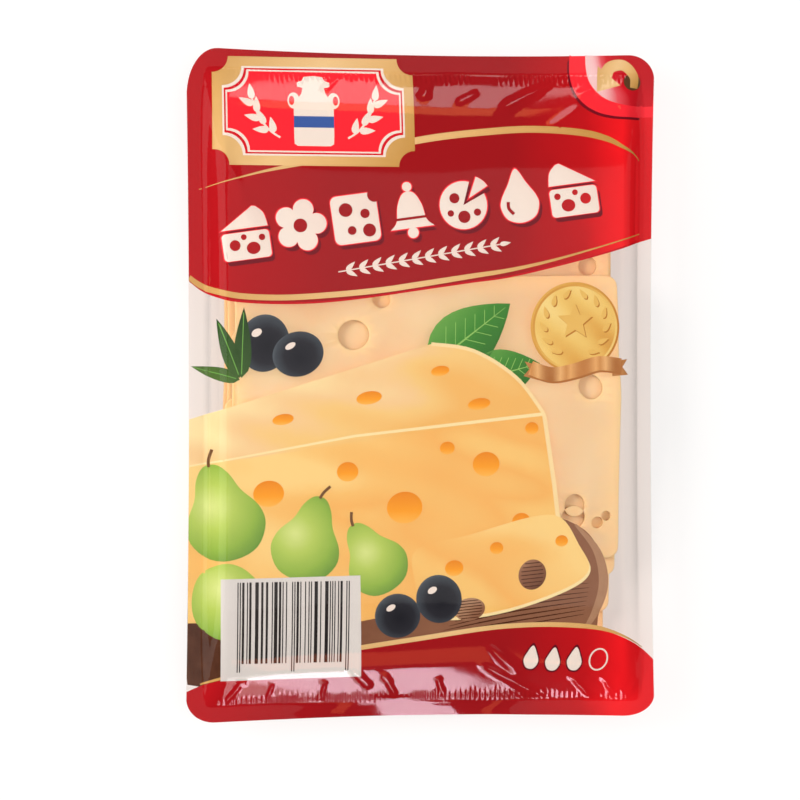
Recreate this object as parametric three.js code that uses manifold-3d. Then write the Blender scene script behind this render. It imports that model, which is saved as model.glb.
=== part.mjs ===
// A pack of sliced cheese, lying on its back with the print side up: a clear formed tray with
// a flange, a lid film sealed to the flange, and a fan of eight holed slices between them.
// Millimetres. +X runs across the pack, +Y up its front, +Z out of the front. The origin is on
// the surface that the tray's floor lies on, under the middle of the pack.

import * as THREE from 'three';
import { mergeVertices } from 'three/addons/utils/BufferGeometryUtils.js';
import Module from 'manifold-3d';

const wasm = await Module();
wasm.setup();

// The outline of the whole pack, with each corner's reach along X and Y, counterclockwise
// from the upper right one. The upper left corner is cut longest.
const PACK = {
  left: -66.5, right: 66.5, bottom: -93.9, top: 93.9,
  corners: [[7.8, 7.3], [9, 14], [8.2, 7.2], [9.4, 6.4]],
};

// The pocket at the seal. The flange round it is narrowest at the right.
const POCKET = {
  left: -61.8, right: 62.9, bottom: -89.4, top: 88.6,
  corners: [[11, 11], [11, 11], [11, 11], [11, 11]],
};

const FLANGE_TOP = 10;
const TRAY_WALL = 0.5;
const WALL_DRAFT = 2;
const FLOOR_RADIUS = 2;

// The film's pull draws the long sides and the ends in at their middles, and lifts the corners.
const SIDE_PULL = 0.95;
const END_PULL = 1.35;
const CORNER_LIFT = 0.9;

// The lid film rises steeply beside the slices and slowly from both ends.
const FILM_THICKNESS = 0.3;
const FILM_GAP = 0.1;
const FILM_RISE = 6.4;
const SIDE_RUN = 6;
const END_POWER = 5;

// One slice, and how the slices lie on each other.
const SLICE = { width: 108.5, height: 80, thickness: 1.8, corner: 3 };
const SLICE_GAP = 0.12;
const SLICE_BEND = 0.15;
const FIRST_GAP = 0.2;

// The slices from the tray's floor up. Right edge and lower edge are measured from the pack's
// middle, the turn is in degrees, and an eye is [across, up, radius] from the same middle.
const SLICES = [
  { right: 54.4, lower: 1.0, turn: 0.3, eyes: [[-31, 58, 4.6], [12, 30, 3.4], [37, 66, 2.8]] },
  { right: 53.4, lower: -11.8, turn: -0.4, eyes: [[-8, 47, 4.1], [28, 15, 3.1], [-40, 12, 2.6]] },
  { right: 55.0, lower: -23.8, turn: 0.4, eyes: [[-22, 21, 3.6], [16, -7, 4.4], [44, 42, 2.4]] },
  { right: 54.0, lower: -35.8, turn: -0.2, eyes: [[47.7, 33.9, 2.6], [-35, -14, 4.2], [2, 8, 3]] },
  { right: 53.3, lower: -83.0, turn: 0.4, eyes: [[-24, -62, 4.4], [19, -46, 3.3], [-6, -22, 2.7]] },
  { right: 54.9, lower: -64.3, turn: -0.3, eyes: [[30, -28, 3.8], [-38, -44, 3], [-12, 2, 4.4]] },
  { right: 55.9, lower: -54.2, turn: 0.2, eyes: [[8, -37, 4.2], [-28, -6, 3.2], [36, 14, 2.6]] },
  {
    right: 55.9, lower: -49.5, turn: 0.7,
    eyes: [
      [47.1, -0.4, 3.4], [43.4, -33.8, 2.9], [43.1, -37.4, 3.2], [50.1, -38.8, 1.5],
      [52.6, -36.9, 1.2], [-20, 14, 4.2], [10, -16, 3.4], [-12, 24, 2.4],
    ],
  },
];

// How finely the round and curved stretches are divided.
const CORNER_STEPS = 6;
const SIDE_STEPS = 10;
const FLOOR_STEPS = 3;
const FILM_COLUMNS = 22;
const FILM_ROWS = 20;
const SLICE_STEP = 1;
const EYE_SEGMENTS = 14;

const HALF_WIDTH = (PACK.right - PACK.left) / 2;
const HALF_HEIGHT = (PACK.top - PACK.bottom) / 2;

// Reaches past the pack on both sides of its thickness, for what trims or pierces a piece.
const TALL = 4 * (FLANGE_TOP + FILM_RISE);

// Moves a point of the straight-sided pack to where the film's pull holds it.
function drawnIn(x, y) {
  const across = x / HALF_WIDTH;
  const along = y / HALF_HEIGHT;
  return [
    x - SIDE_PULL * across * Math.max(0, 1 - along * along),
    y - END_PULL * along * Math.max(0, 1 - across * across),
  ];
}

function cornerLift(x, y) {
  return CORNER_LIFT * (x / HALF_WIDTH) ** 2 * (y / HALF_HEIGHT) ** 2;
}

// The points of a rounded box, inset by a distance, counterclockwise from its right side.
function outline(box, inset = 0) {
  const sides = [
    [box.right - inset, box.top - inset, 1, 1],
    [box.left + inset, box.top - inset, -1, 1],
    [box.left + inset, box.bottom + inset, -1, -1],
    [box.right - inset, box.bottom + inset, 1, -1],
  ];
  const points = [];
  sides.forEach(([x, y, signX, signY], corner) => {
    const reachX = Math.max(box.corners[corner][0] - inset, 1);
    const reachY = Math.max(box.corners[corner][1] - inset, 1);
    for (let step = 0; step <= CORNER_STEPS; step += 1) {
      const angle = (corner + step / CORNER_STEPS) * Math.PI / 2;
      points.push([
        x - signX * reachX + reachX * Math.cos(angle),
        y - signY * reachY + reachY * Math.sin(angle),
      ]);
    }
  });
  // The straight stretch that follows each corner is divided too.
  const whole = [];
  points.forEach((point, index) => {
    whole.push(point);
    if (index % (CORNER_STEPS + 1) === CORNER_STEPS) {
      const next = points[(index + 1) % points.length];
      for (let step = 1; step < SIDE_STEPS; step += 1) {
        const share = step / SIDE_STEPS;
        whole.push([
          point[0] + (next[0] - point[0]) * share,
          point[1] + (next[1] - point[1]) * share,
        ]);
      }
    }
  });
  return whole;
}

// One level of the pack: an outline at a height, which rises with the corners near the flange.
function level(box, inset, height) {
  return outline(box, inset).map(([x, y]) => {
    const lift = cornerLift(x, y) * Math.min(1, height / FLANGE_TOP);
    const floor = height < TRAY_WALL + FLOOR_RADIUS;
    return new THREE.Vector3(...drawnIn(x, y), floor ? height : height + lift);
  });
}

// A closed body through a row of levels, from the middle of the first to that of the last.
function loft(levels) {
  const count = levels[0].length;
  const positions = levels.flat().flatMap((point) => point.toArray());
  const indices = [];
  for (let ring = 0; ring + 1 < levels.length; ring += 1) {
    for (let i = 0; i < count; i += 1) {
      const next = (i + 1) % count;
      const low = ring * count;
      const high = low + count;
      indices.push(low + i, low + next, high + next, low + i, high + next, high + i);
    }
  }
  const first = levels.length * count;
  const last = first + 1;
  const lastRing = (levels.length - 1) * count;
  positions.push(0, 0, levels[0][0].z, 0, 0, levels[levels.length - 1][0].z);
  for (let i = 0; i < count; i += 1) {
    const next = (i + 1) % count;
    indices.push(first, next, i, last, lastRing + i, lastRing + next);
  }
  const geometry = new THREE.BufferGeometry();
  geometry.setAttribute('position', new THREE.Float32BufferAttribute(positions, 3));
  geometry.setIndex(indices);
  return geometry;
}

function solidOf(geometry) {
  const bare = geometry.clone();
  bare.deleteAttribute('normal');
  bare.deleteAttribute('uv');
  const merged = mergeVertices(bare, 1e-4);
  return new wasm.Manifold(new wasm.Mesh({
    numProp: 3,
    vertProperties: new Float32Array(merged.attributes.position.array),
    triVerts: new Uint32Array(merged.index.array),
  }));
}

function geometryOf(solid) {
  const { numProp, vertProperties, triVerts } = solid.getMesh();
  const positions = [];
  for (let i = 0; i < vertProperties.length; i += numProp) {
    positions.push(vertProperties[i], vertProperties[i + 1], vertProperties[i + 2]);
  }
  const geometry = new THREE.BufferGeometry();
  geometry.setAttribute('position', new THREE.Float32BufferAttribute(positions, 3));
  geometry.setIndex(Array.from(triVerts));
  return geometry;
}

// The tray: from the middle of its underside, out over the floor's edge, up the wall and round
// the flange, then down inside the pocket to the middle of its floor.
function trayGeometry() {
  const levels = [];
  const arcMiddle = TRAY_WALL + FLOOR_RADIUS;
  const arcInset = WALL_DRAFT + FLOOR_RADIUS;
  const turn = (radius, step) => {
    const angle = (step / FLOOR_STEPS) * Math.PI / 2;
    return [arcInset - radius * Math.cos(angle), arcMiddle - radius * Math.sin(angle)];
  };
  for (let step = FLOOR_STEPS; step >= 0; step -= 1) {
    levels.push(level(POCKET, ...turn(FLOOR_RADIUS + TRAY_WALL, step)));
  }
  levels.push(level(POCKET, -TRAY_WALL, FLANGE_TOP - TRAY_WALL));
  levels.push(level(PACK, 0, FLANGE_TOP - TRAY_WALL));
  levels.push(level(PACK, 0, FLANGE_TOP));
  levels.push(level(POCKET, 0, FLANGE_TOP));
  for (let step = 0; step <= FLOOR_STEPS; step += 1) {
    levels.push(level(POCKET, ...turn(FLOOR_RADIUS, step)));
  }
  return loft(levels);
}

// Places along one direction, close together at both seals and past them to the pack's edge.
function stations(low, high, count, edgeLow, edgeHigh) {
  const places = [edgeLow];
  for (let i = 0; i <= count; i += 1) {
    places.push((low + high) / 2 - (high - low) / 2 * Math.cos(Math.PI * i / count));
  }
  places.push(edgeHigh);
  return places;
}

// How far the film stands over the flange, as a share of its full rise: 0 outside the pocket.
function filmShare(x, y) {
  const side = Math.min(x - POCKET.left, POCKET.right - x);
  const middle = (POCKET.top + POCKET.bottom) / 2;
  const along = Math.abs(y - middle) / ((POCKET.top - POCKET.bottom) / 2);
  if (side <= 0 || along >= 1) return 0;
  const across = Math.sin(Math.min(1, side / SIDE_RUN) * Math.PI / 2);
  return across * (1 - along ** END_POWER);
}

// The lid film: a thin sheet over a grid of places, cut to the pack's outline.
function filmGeometry() {
  const margin = 2;
  const columns = stations(
    POCKET.left, POCKET.right, FILM_COLUMNS, PACK.left - margin, PACK.right + margin,
  );
  const rows = stations(
    POCKET.bottom, POCKET.top, FILM_ROWS, PACK.bottom - margin, PACK.top + margin,
  );
  const levels = [0, FILM_THICKNESS].map((raise) => rows.map((y) => columns.map((x) => {
    const rest = FLANGE_TOP + FILM_GAP + cornerLift(x, y) + raise;
    return [...drawnIn(x, y), rest + FILM_RISE * filmShare(x, y)];
  })));
  const positions = levels.flat(3);
  const wide = columns.length;
  const deep = rows.length;
  const top = wide * deep;
  const indices = [];
  const quad = (a, b, c, d) => indices.push(a, b, c, a, c, d);
  for (let row = 0; row + 1 < deep; row += 1) {
    for (let column = 0; column + 1 < wide; column += 1) {
      const here = row * wide + column;
      quad(here, here + wide, here + wide + 1, here + 1);
      quad(top + here, top + here + 1, top + here + wide + 1, top + here + wide);
    }
  }
  for (let column = 0; column + 1 < wide; column += 1) {
    const far = (deep - 1) * wide + column;
    quad(column, column + 1, top + column + 1, top + column);
    quad(far + 1, far, top + far, top + far + 1);
  }
  for (let row = 0; row + 1 < deep; row += 1) {
    const here = row * wide;
    const right = here + wide - 1;
    quad(here + wide, here, top + here, top + here + wide);
    quad(right, right + wide, top + right + wide, top + right);
  }
  const sheet = new THREE.BufferGeometry();
  sheet.setAttribute('position', new THREE.Float32BufferAttribute(positions, 3));
  sheet.setIndex(indices);
  const edge = outline(PACK).map(([x, y]) => new THREE.Vector2(...drawnIn(x, y)));
  const cutter = new THREE.ExtrudeGeometry(new THREE.Shape(edge), {
    depth: TALL, bevelEnabled: false,
  });
  return geometryOf(solidOf(sheet).intersect(solidOf(cutter)));
}

// The lower and upper ends of a slice along Y, with the little that its turn adds.
function sliceEnds({ lower, turn }) {
  const more = SLICE.width / 2 * Math.abs(Math.sin(THREE.MathUtils.degToRad(turn)));
  return [lower - more, lower + SLICE.height + more];
}

// Lays each slice over those under it. A slice bends no more steeply than SLICE_BEND, so it
// bridges the steps between the edges below. Gives each one's underside as [y, z] points.
function layOut() {
  const floor = TRAY_WALL + FIRST_GAP;
  const laid = [];
  for (const slice of SLICES) {
    const [low, high] = sliceEnds(slice);
    const count = Math.round((high - low) / SLICE_STEP);
    const places = Array.from({ length: count + 1 }, (_, i) => low + (high - low) * i / count);
    // Whatever lies under this slice, as points that it has to clear.
    const held = laid.flatMap(({ under }) => under
      .map(([y, z]) => [y, z + SLICE.thickness + SLICE_GAP])
      .filter(([y]) => y >= low - SLICE_STEP && y <= high + SLICE_STEP));
    const under = places.map((y) => [y, held.reduce(
      (height, [at, z]) => Math.max(height, z - SLICE_BEND * Math.abs(y - at)),
      floor,
    )]);
    laid.push({ slice, under });
  }
  return laid;
}

// Leaves out the points that lie on the straight line between their neighbours.
function dropStraight(points) {
  const tolerance = 1e-6;
  return points.filter(([y, z], i) => {
    if (i === 0 || i === points.length - 1) return true;
    const [y0, z0] = points[i - 1];
    const [y1, z1] = points[i + 1];
    return Math.abs((z - z0) * (y1 - y0) - (z1 - z0) * (y - y0)) > tolerance;
  });
}

// A slice: the bent slab seen from its side, run across the pack, then trimmed to a rectangle
// with rounded corners and pierced by its eyes.
function sliceGeometry({ right, lower, turn, eyes }, under) {
  const path = dropStraight(under);
  const over = path.map(([y, z]) => [y, z + SLICE.thickness]).reverse();
  const profile = new THREE.Shape([...path, ...over].map(([y, z]) => new THREE.Vector2(y, z)));
  const reach = HALF_WIDTH;
  const slab = new THREE.ExtrudeGeometry(profile, { depth: 2 * reach, bevelEnabled: false });
  slab.applyMatrix4(new THREE.Matrix4().makeBasis(
    new THREE.Vector3(0, 1, 0), new THREE.Vector3(0, 0, 1), new THREE.Vector3(1, 0, 0),
  ));
  slab.translate(-reach, 0, 0);

  const halfWide = SLICE.width / 2;
  const halfHigh = SLICE.height / 2;
  const round = SLICE.corner;
  const trim = new THREE.Shape();
  trim.absarc(halfWide - round, halfHigh - round, round, 0, Math.PI / 2);
  trim.absarc(-halfWide + round, halfHigh - round, round, Math.PI / 2, Math.PI);
  trim.absarc(-halfWide + round, -halfHigh + round, round, Math.PI, 1.5 * Math.PI);
  trim.absarc(halfWide - round, -halfHigh + round, round, 1.5 * Math.PI, 2 * Math.PI);
  const cutter = new THREE.ExtrudeGeometry(trim, {
    depth: TALL, bevelEnabled: false, curveSegments: CORNER_STEPS,
  });
  cutter.rotateZ(THREE.MathUtils.degToRad(turn));
  cutter.translate(right - halfWide, lower + halfHigh, 0);
  const whole = solidOf(slab).intersect(solidOf(cutter));
  return geometryOf(eyes.reduce((solid, [x, y, radius]) => {
    const eye = new THREE.CylinderGeometry(radius, radius, TALL, EYE_SEGMENTS);
    eye.rotateX(Math.PI / 2);
    eye.translate(x, y, 0);
    return solid.subtract(solidOf(eye));
  }, whole));
}

function material(color, roughness, opacity = 1) {
  return new THREE.MeshStandardMaterial({
    color, roughness, metalness: 0, opacity, transparent: opacity < 1,
  });
}

const pack = new THREE.Group();

function addMesh(name, geometry, finish) {
  const mesh = new THREE.Mesh(geometry, finish);
  mesh.name = name;
  pack.add(mesh);
}

addMesh('tray', trayGeometry(), material('#d8d2ca', 0.2, 0.4));
layOut().forEach(({ slice, under }, index) => {
  addMesh(`slice_${index + 1}`, sliceGeometry(slice, under), material('#f6d9a8', 0.45));
});
addMesh('lid_film', filmGeometry(), material('#c22430', 0.15));

export default pack;
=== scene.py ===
import math
import random

import bmesh
import bpy
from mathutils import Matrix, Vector, noise


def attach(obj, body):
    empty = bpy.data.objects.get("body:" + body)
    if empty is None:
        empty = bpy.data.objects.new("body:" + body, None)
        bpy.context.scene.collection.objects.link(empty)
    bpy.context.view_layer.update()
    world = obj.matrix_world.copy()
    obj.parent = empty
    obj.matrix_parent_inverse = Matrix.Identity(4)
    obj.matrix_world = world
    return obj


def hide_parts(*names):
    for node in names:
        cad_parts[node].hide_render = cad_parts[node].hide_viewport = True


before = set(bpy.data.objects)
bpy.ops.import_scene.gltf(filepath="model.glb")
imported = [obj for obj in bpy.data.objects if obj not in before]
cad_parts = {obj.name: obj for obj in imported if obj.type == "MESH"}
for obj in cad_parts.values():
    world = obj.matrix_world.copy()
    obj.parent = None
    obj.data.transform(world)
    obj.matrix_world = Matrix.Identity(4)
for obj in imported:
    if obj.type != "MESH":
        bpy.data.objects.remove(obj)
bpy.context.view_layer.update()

# A shut pack of cheese slices: a clear formed tray, a printed lid film sealed to its flange, and
# eight slices in a fan. All sizes below are millimetres; meshes are made in metres at the end.
MM = 0.001

# The photograph's frame, in pixels, and the camera that took it.
IMAGE_SIZE = 800
PIXELS_PER_MM = 3.585
CAMERA_DISTANCE = 800
CAMERA_TURN = math.radians(8.4)
CAMERA_TARGET = (-6.95, -4.1, 14.0)
SENSOR = 36

# The pack's outline and its pocket, with each corner's reach along X and Y, counterclockwise from
# the upper right one.
PACK = dict(left=-66.5, right=66.5, bottom=-93.9, top=93.9,
            corners=[(7.8, 7.3), (9, 14), (8.2, 7.2), (9.4, 6.4)])
POCKET = dict(left=-61.8, right=62.9, bottom=-89.4, top=88.6, corners=[(11, 11)] * 4)
HALF_WIDTH = PACK["right"]
HALF_HEIGHT = PACK["top"]
FLANGE_TOP = 10
TRAY_WALL = 0.5
WALL_DRAFT = 2
FLOOR_RADIUS = 2
SIDE_PULL = 0.95
END_PULL = 1.35
CORNER_LIFT = 0.9
FILM_GAP = 0.1
FILM_RISE = 6.4
SIDE_RUN = 6
END_POWER = 5

# The film is thinner than its solid and lies at the top of it. The print is on its underside.
FILM_TOP = 0.3
FILM_THICKNESS = 0.08
INK_THICKNESS = 0.008
INK_STEP = 0.015
INK_LAYERS = 17
INK_CLEARANCE = 0.02

SLICE = dict(width=108.5, height=80, thickness=1.8, corner=3)
SLICE_GAP = 0.12
SLICE_BEND = 0.15
FIRST_GAP = 0.2
SLICES = [
    dict(right=54.4, lower=1.0, turn=0.3, eyes=[(-31, 58, 4.6), (12, 30, 3.4), (37, 66, 2.8)]),
    dict(right=53.4, lower=-11.8, turn=-0.4, eyes=[(-8, 47, 4.1), (28, 15, 3.1), (-40, 12, 2.6)]),
    dict(right=55.0, lower=-23.8, turn=0.4, eyes=[(-22, 21, 3.6), (16, -7, 4.4), (44, 42, 2.4)]),
    dict(right=54.0, lower=-35.8, turn=-0.2, eyes=[(47.7, 33.9, 2.6), (-35, -14, 4.2), (2, 8, 3)]),
    dict(right=53.3, lower=-83.0, turn=0.4, eyes=[(-24, -62, 4.4), (19, -46, 3.3), (-6, -22, 2.7)]),
    dict(right=54.9, lower=-64.3, turn=-0.3, eyes=[(30, -28, 3.8), (-38, -44, 3), (-12, 2, 4.4)]),
    dict(right=55.9, lower=-54.2, turn=0.2, eyes=[(8, -37, 4.2), (-28, -6, 3.2), (36, 14, 2.6)]),
    dict(right=55.9, lower=-49.5, turn=0.7,
         eyes=[(47.1, -0.4, 3.4), (43.4, -33.8, 2.9), (43.1, -37.4, 3.2), (50.1, -38.8, 1.5),
               (52.6, -36.9, 1.2), (-20, 14, 4.2), (10, -16, 3.4), (-12, 24, 2.4)]),
]

# How finely the film and the print are divided: in its middle, near the ends, and in the pleats.
COLUMN = 1.0
ROW_END = 0.55
ROW_MIDDLE = 1.25
END_ZONE = 30
PLEAT_CUTS = 3
PLEAT_PITCH = 1.42
PLEAT_LENGTH = 3.6


# Shape of the pack

def drawn_in(x, y):
    """Where the film's pull holds a point of the straight-sided pack."""
    across, along = x / HALF_WIDTH, y / HALF_HEIGHT
    return (x - SIDE_PULL * across * max(0, 1 - along * along),
            y - END_PULL * along * max(0, 1 - across * across))


def straightened(x, y):
    """The point of the straight-sided pack that drawn_in brings here, near enough."""
    moved = drawn_in(x, y)
    return 2 * x - moved[0], 2 * y - moved[1]


def corner_lift(x, y):
    return CORNER_LIFT * (x / HALF_WIDTH) ** 2 * (y / HALF_HEIGHT) ** 2


def outline(box, inset=0.0, corner_steps=14, side_steps=36):
    """Points round a rounded box, counterclockwise from the upper right corner."""
    sides = [(box["right"] - inset, box["top"] - inset, 1, 1),
             (box["left"] + inset, box["top"] - inset, -1, 1),
             (box["left"] + inset, box["bottom"] + inset, -1, -1),
             (box["right"] - inset, box["bottom"] + inset, 1, -1)]
    corners = []
    for number, (x, y, sign_x, sign_y) in enumerate(sides):
        reach_x, reach_y = (max(reach - inset, 1) for reach in box["corners"][number])
        angles = [(number + step / corner_steps) * math.pi / 2 for step in range(corner_steps + 1)]
        corners.append([(x - sign_x * reach_x + reach_x * math.cos(a),
                         y - sign_y * reach_y + reach_y * math.sin(a)) for a in angles])
    points = []
    for number, corner in enumerate(corners):
        (x0, y0), (x1, y1) = corner[-1], corners[(number + 1) % 4][0]
        points += corner
        points += [(x0 + (x1 - x0) * step / side_steps, y0 + (y1 - y0) * step / side_steps)
                   for step in range(1, side_steps)]
    return points


def smooth(low, high, value):
    share = min(1, max(0, (value - low) / (high - low)))
    return share * share * (3 - 2 * share)


# Folds that cross the film: start, end, half width at both, and height. A fold has flat flanks.
FOLDS = [
    ((38.0, 86.2), (20.4, 76.7), 1.0, 2.6, 0.34), ((44.7, 78.8), (34.1, 71.2), 0.8, 1.8, 0.2),
    ((3.8, 87.4), (-1.1, 79.5), 0.7, 2.2, 0.25), ((-23.4, 86.4), (-28.7, 81.7), 0.6, 1.4, 0.2),
    ((15.5, 82.4), (8.8, 78.8), 0.8, 1.5, 0.18), ((50.5, 85.2), (43.4, 81.6), 0.6, 1.2, 0.16),
    ((-58.8, 71.1), (-44.2, 34.0), 0.9, 4.2, 0.26), ((62.9, 66.2), (56.5, 80.1), 0.5, 0.9, 0.12),
    ((17.3, -72.1), (28.3, -82.3), 1.0, 3.0, 0.32), ((16.1, -78.1), (34.9, -88.5), 0.9, 2.2, 0.4),
    ((41.7, -81.9), (49.0, -89.0), 0.5, 1.3, 0.24), ((50.9, -82.0), (55.6, -88.8), 0.5, 1.5, 0.24),
    ((62.6, -80.1), (59.0, -87.4), 0.6, 1.6, 0.26), ((-50.2, -81.7), (-55.9, -88.7), 0.5, 1.3, 0.22),
    ((-42.1, -82.4), (-44.4, -88.7), 0.5, 1.1, 0.2), ((-27.3, -80.9), (-29.0, -88.6), 0.4, 1.0, 0.26),
    ((-11.9, -80.0), (-7.0, -88.2), 0.6, 1.5, 0.22), ((3.5, -81.4), (6.7, -88.7), 0.6, 1.6, 0.2),
    ((-20.9, -78.7), (-14.5, -85.1), 0.6, 1.8, 0.18), ((33.3, -85.8), (38.1, -90.0), 0.4, 1.1, 0.2),
]


def fold_height(x, y):
    height = 0.0
    for start, end, wide_start, wide_end, high in FOLDS:
        start = Vector(start)
        along = Vector(end) - start
        length = along.length
        reach = max(wide_start, wide_end)
        offset = Vector((x, y)) - start
        share = offset.dot(along) / (length * length)
        if share < -0.2 or share > 1.2:
            continue
        side = abs(offset.cross(along)) / length
        if side > reach:
            continue
        width = wide_start + (wide_end - wide_start) * min(1, max(0, share))
        ends = smooth(-0.05, 0.2, share) * (1 - smooth(0.75, 1.05, share))
        height += high * max(0, 1 - side / width) * ends
    return height


def pleat_height(x, y):
    """Short pleats where the film leaves the seal at both ends, uneven along it."""
    height = 0.0
    for seal, sign, seed in ((POCKET["top"], 1, 3.7), (POCKET["bottom"], -1, 9.2)):
        inward = (seal - y) * sign
        if 0 < inward < PLEAT_LENGTH * 1.4:
            strength = noise.noise(Vector((x / 11, seed, 0))) + 0.45
            strength = min(1, max(0, strength)) * smooth(60, 52, abs(x))
            wander = 1.6 * noise.noise(Vector((x / 4.5, seed + 5, inward / 9)))
            length = PLEAT_LENGTH * (0.75 + 0.5 * noise.noise(Vector((x / 2.2, seed + 8, 0))))
            shape = smooth(0, 0.7, inward) * (1 - smooth(0.35, 1.1, inward / length))
            height += 0.11 * strength * shape * math.sin(2 * math.pi * x / PLEAT_PITCH + wander)
    return height


def film_share(x, y):
    """How far the film stands over the flange, as a share of its full rise."""
    side = min(x - POCKET["left"], POCKET["right"] - x)
    middle = (POCKET["top"] + POCKET["bottom"]) / 2
    along = abs(y - middle) / ((POCKET["top"] - POCKET["bottom"]) / 2)
    if side <= 0 or along >= 1:
        return 0.0
    return math.sin(min(1, side / SIDE_RUN) * math.pi / 2) * (1 - along ** END_POWER)


def flange_wave(x, y):
    """The sealed edge bends in long waves at both ends, and hangs a little at the bottom's middle."""
    ends = smooth(80, 93, abs(y))
    wave = 0.22 * ends * noise.noise(Vector((x / 17, 4.0 if y > 0 else 8.0, y / 6)))
    hang = smooth(-42, -14, x) * (1 - smooth(16, 32, x)) * max(0, -88.4 - y)
    return wave - 0.23 * hang


def film_height(x, y):
    """Height of the film's underside at a place of the finished pack."""
    flat_x, flat_y = straightened(x, y)
    share = film_share(flat_x, flat_y)
    sag = 0.16 * share * noise.noise(Vector((x / 24, y / 30, 2.0)))
    relief = (fold_height(x, y) * min(1, 0.15 + 3 * share) + pleat_height(flat_x, flat_y)
              + flange_wave(x, y) + sag)
    return FLANGE_TOP + FILM_GAP + corner_lift(flat_x, flat_y) + FILM_RISE * share + relief


# Mesh helpers

def link(name, bm, material, nodes=(), sharp=50):
    """Makes a finished piece of a bmesh that is in millimetres."""
    bmesh.ops.scale(bm, vec=(MM, MM, MM), verts=bm.verts)
    mesh = bpy.data.meshes.new(name)
    bm.to_mesh(mesh)
    bm.free()
    mesh.shade_smooth()
    mesh.set_sharp_from_angle(angle=math.radians(sharp))
    mesh.materials.append(material)
    piece = bpy.data.objects.new(name, mesh)
    bpy.context.scene.collection.objects.link(piece)
    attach(piece, "root")
    if nodes:
        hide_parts(*nodes)
    return piece


def rows_between(low, high):
    """Heights up the pack at which the film and print are divided, close together at the ends."""
    places = []
    y = PACK["bottom"]
    while y < PACK["top"]:
        places.append(y)
        y += ROW_END if abs(y) > HALF_HEIGHT - END_ZONE else ROW_MIDDLE
    return [place for place in places if low < place < high]


def steps_between(low, high, step):
    first = math.ceil(low / step)
    return [number * step for number in range(first, math.floor(high / step) + 1)]


def cut_lines(bm, faces, places, axis):
    """Cuts the faces along lines across one axis."""
    normal = (1, 0, 0) if axis == 0 else (0, 1, 0)
    geometry = list({*faces, *(e for f in faces for e in f.edges), *(v for f in faces for v in f.verts)})
    for place in places:
        at = (place, 0, 0) if axis == 0 else (0, place, 0)
        made = bmesh.ops.bisect_plane(bm, geom=geometry, plane_co=at, plane_no=normal, dist=1e-5)
        geometry = made["geom"]
    return [item for item in geometry if isinstance(item, bmesh.types.BMFace) and item.is_valid]


def sheet(bm, points, step=COLUMN):
    """Adds a flat shape to the print, divided so that it can follow the film."""
    face = bm.faces.new([bm.verts.new((x, y, 0)) for x, y in points])
    if face.calc_area() == 0:
        raise ValueError("an outline has no area")
    face.normal_update()
    if face.normal.z < 0:
        face.normal_flip()
    xs = [x for x, _ in points]
    ys = [y for _, y in points]
    faces = cut_lines(bm, [face], steps_between(min(xs), max(xs), step), 0)
    faces = cut_lines(bm, faces, rows_between(min(ys), max(ys)), 1)
    seal_rows = [f for f in faces if any(
        0 < (seal - straightened(*f.calc_center_median().xy)[1]) * sign < PLEAT_LENGTH * 1.4
        for seal, sign in ((POCKET["top"], 1), (POCKET["bottom"], -1)))]
    level_edges = {e for f in seal_rows for e in f.edges
                   if abs(e.verts[0].co.y - e.verts[1].co.y) < 1e-4 and e.calc_length() > 0.3}
    if level_edges:
        bmesh.ops.subdivide_edges(bm, edges=list(level_edges), cuts=PLEAT_CUTS, use_grid_fill=True)


def drape(bm, depth):
    """Lays a flat sheet on the film's underside, a little lower by its depth in the print."""
    bmesh.ops.triangulate(bm, faces=[f for f in bm.faces if len(f.verts) > 4])
    for vert in bm.verts:
        vert.co.z = film_height(vert.co.x, vert.co.y) + FILM_TOP - FILM_THICKNESS - depth


def thicken(bm, thickness):
    """Gives a draped sheet its thickness, downwards."""
    made = bmesh.ops.extrude_face_region(bm, geom=bm.faces[:])
    fresh = [item for item in made["geom"] if isinstance(item, bmesh.types.BMVert)]
    bmesh.ops.translate(bm, verts=fresh, vec=(0, 0, -thickness))


def skin(bm, rings):
    """A band of faces through closed rings of points, all with the same count."""
    verts = [bm.verts.new(point) for point in rings[0]]
    edges = [bm.edges.new((verts[i - 1], verts[i])) for i in range(len(verts))]
    first = list(edges)
    for ring in rings[1:]:
        made = bmesh.ops.extrude_edge_only(bm, edges=edges)
        fresh = {item for item in made["geom"] if isinstance(item, bmesh.types.BMVert)}
        verts = [next(e.other_vert(v) for e in v.link_edges if e.other_vert(v) in fresh)
                 for v in verts]
        for vert, point in zip(verts, ring):
            vert.co = point
        edges = [bm.edges.get((verts[i - 1], verts[i])) for i in range(len(verts))]
    return first, edges


# Materials

def linear(code):
    """The linear colour of an sRGB hex code."""
    shares = [int(code[i:i + 2], 16) / 255 for i in (1, 3, 5)]
    return tuple(s / 12.92 if s <= 0.04045 else ((s + 0.055) / 1.055) ** 2.4
                 for s in shares) + (1.0,)


def add(tree, kind, sockets=None, stops=(), **settings):
    """Adds a node, with its settings, its sockets set or linked, and a ramp's places and colours."""
    made = tree.nodes.new("ShaderNode" + kind)
    for key, value in settings.items():
        setattr(made, key, value)
    for key, value in (sockets or {}).items():
        if isinstance(value, bpy.types.NodeSocket):
            tree.links.new(value, made.inputs[key])
        else:
            made.inputs[key].default_value = value
    for number, (place, code) in enumerate(stops):
        elements = made.color_ramp.elements
        while len(elements) < len(stops):
            elements.new(0.5)
        elements[number].position = place
        elements[number].color = linear(code)
    return made


def fresh_material(name):
    material = bpy.data.materials.new(name)
    material.use_nodes = True
    tree = material.node_tree
    tree.nodes.clear()
    return material, tree, add(tree, "OutputMaterial")


def per_mm(size):
    """The scale of a texture on Object coordinates whose features are this many mm across."""
    return 1 / (size * MM)


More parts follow.
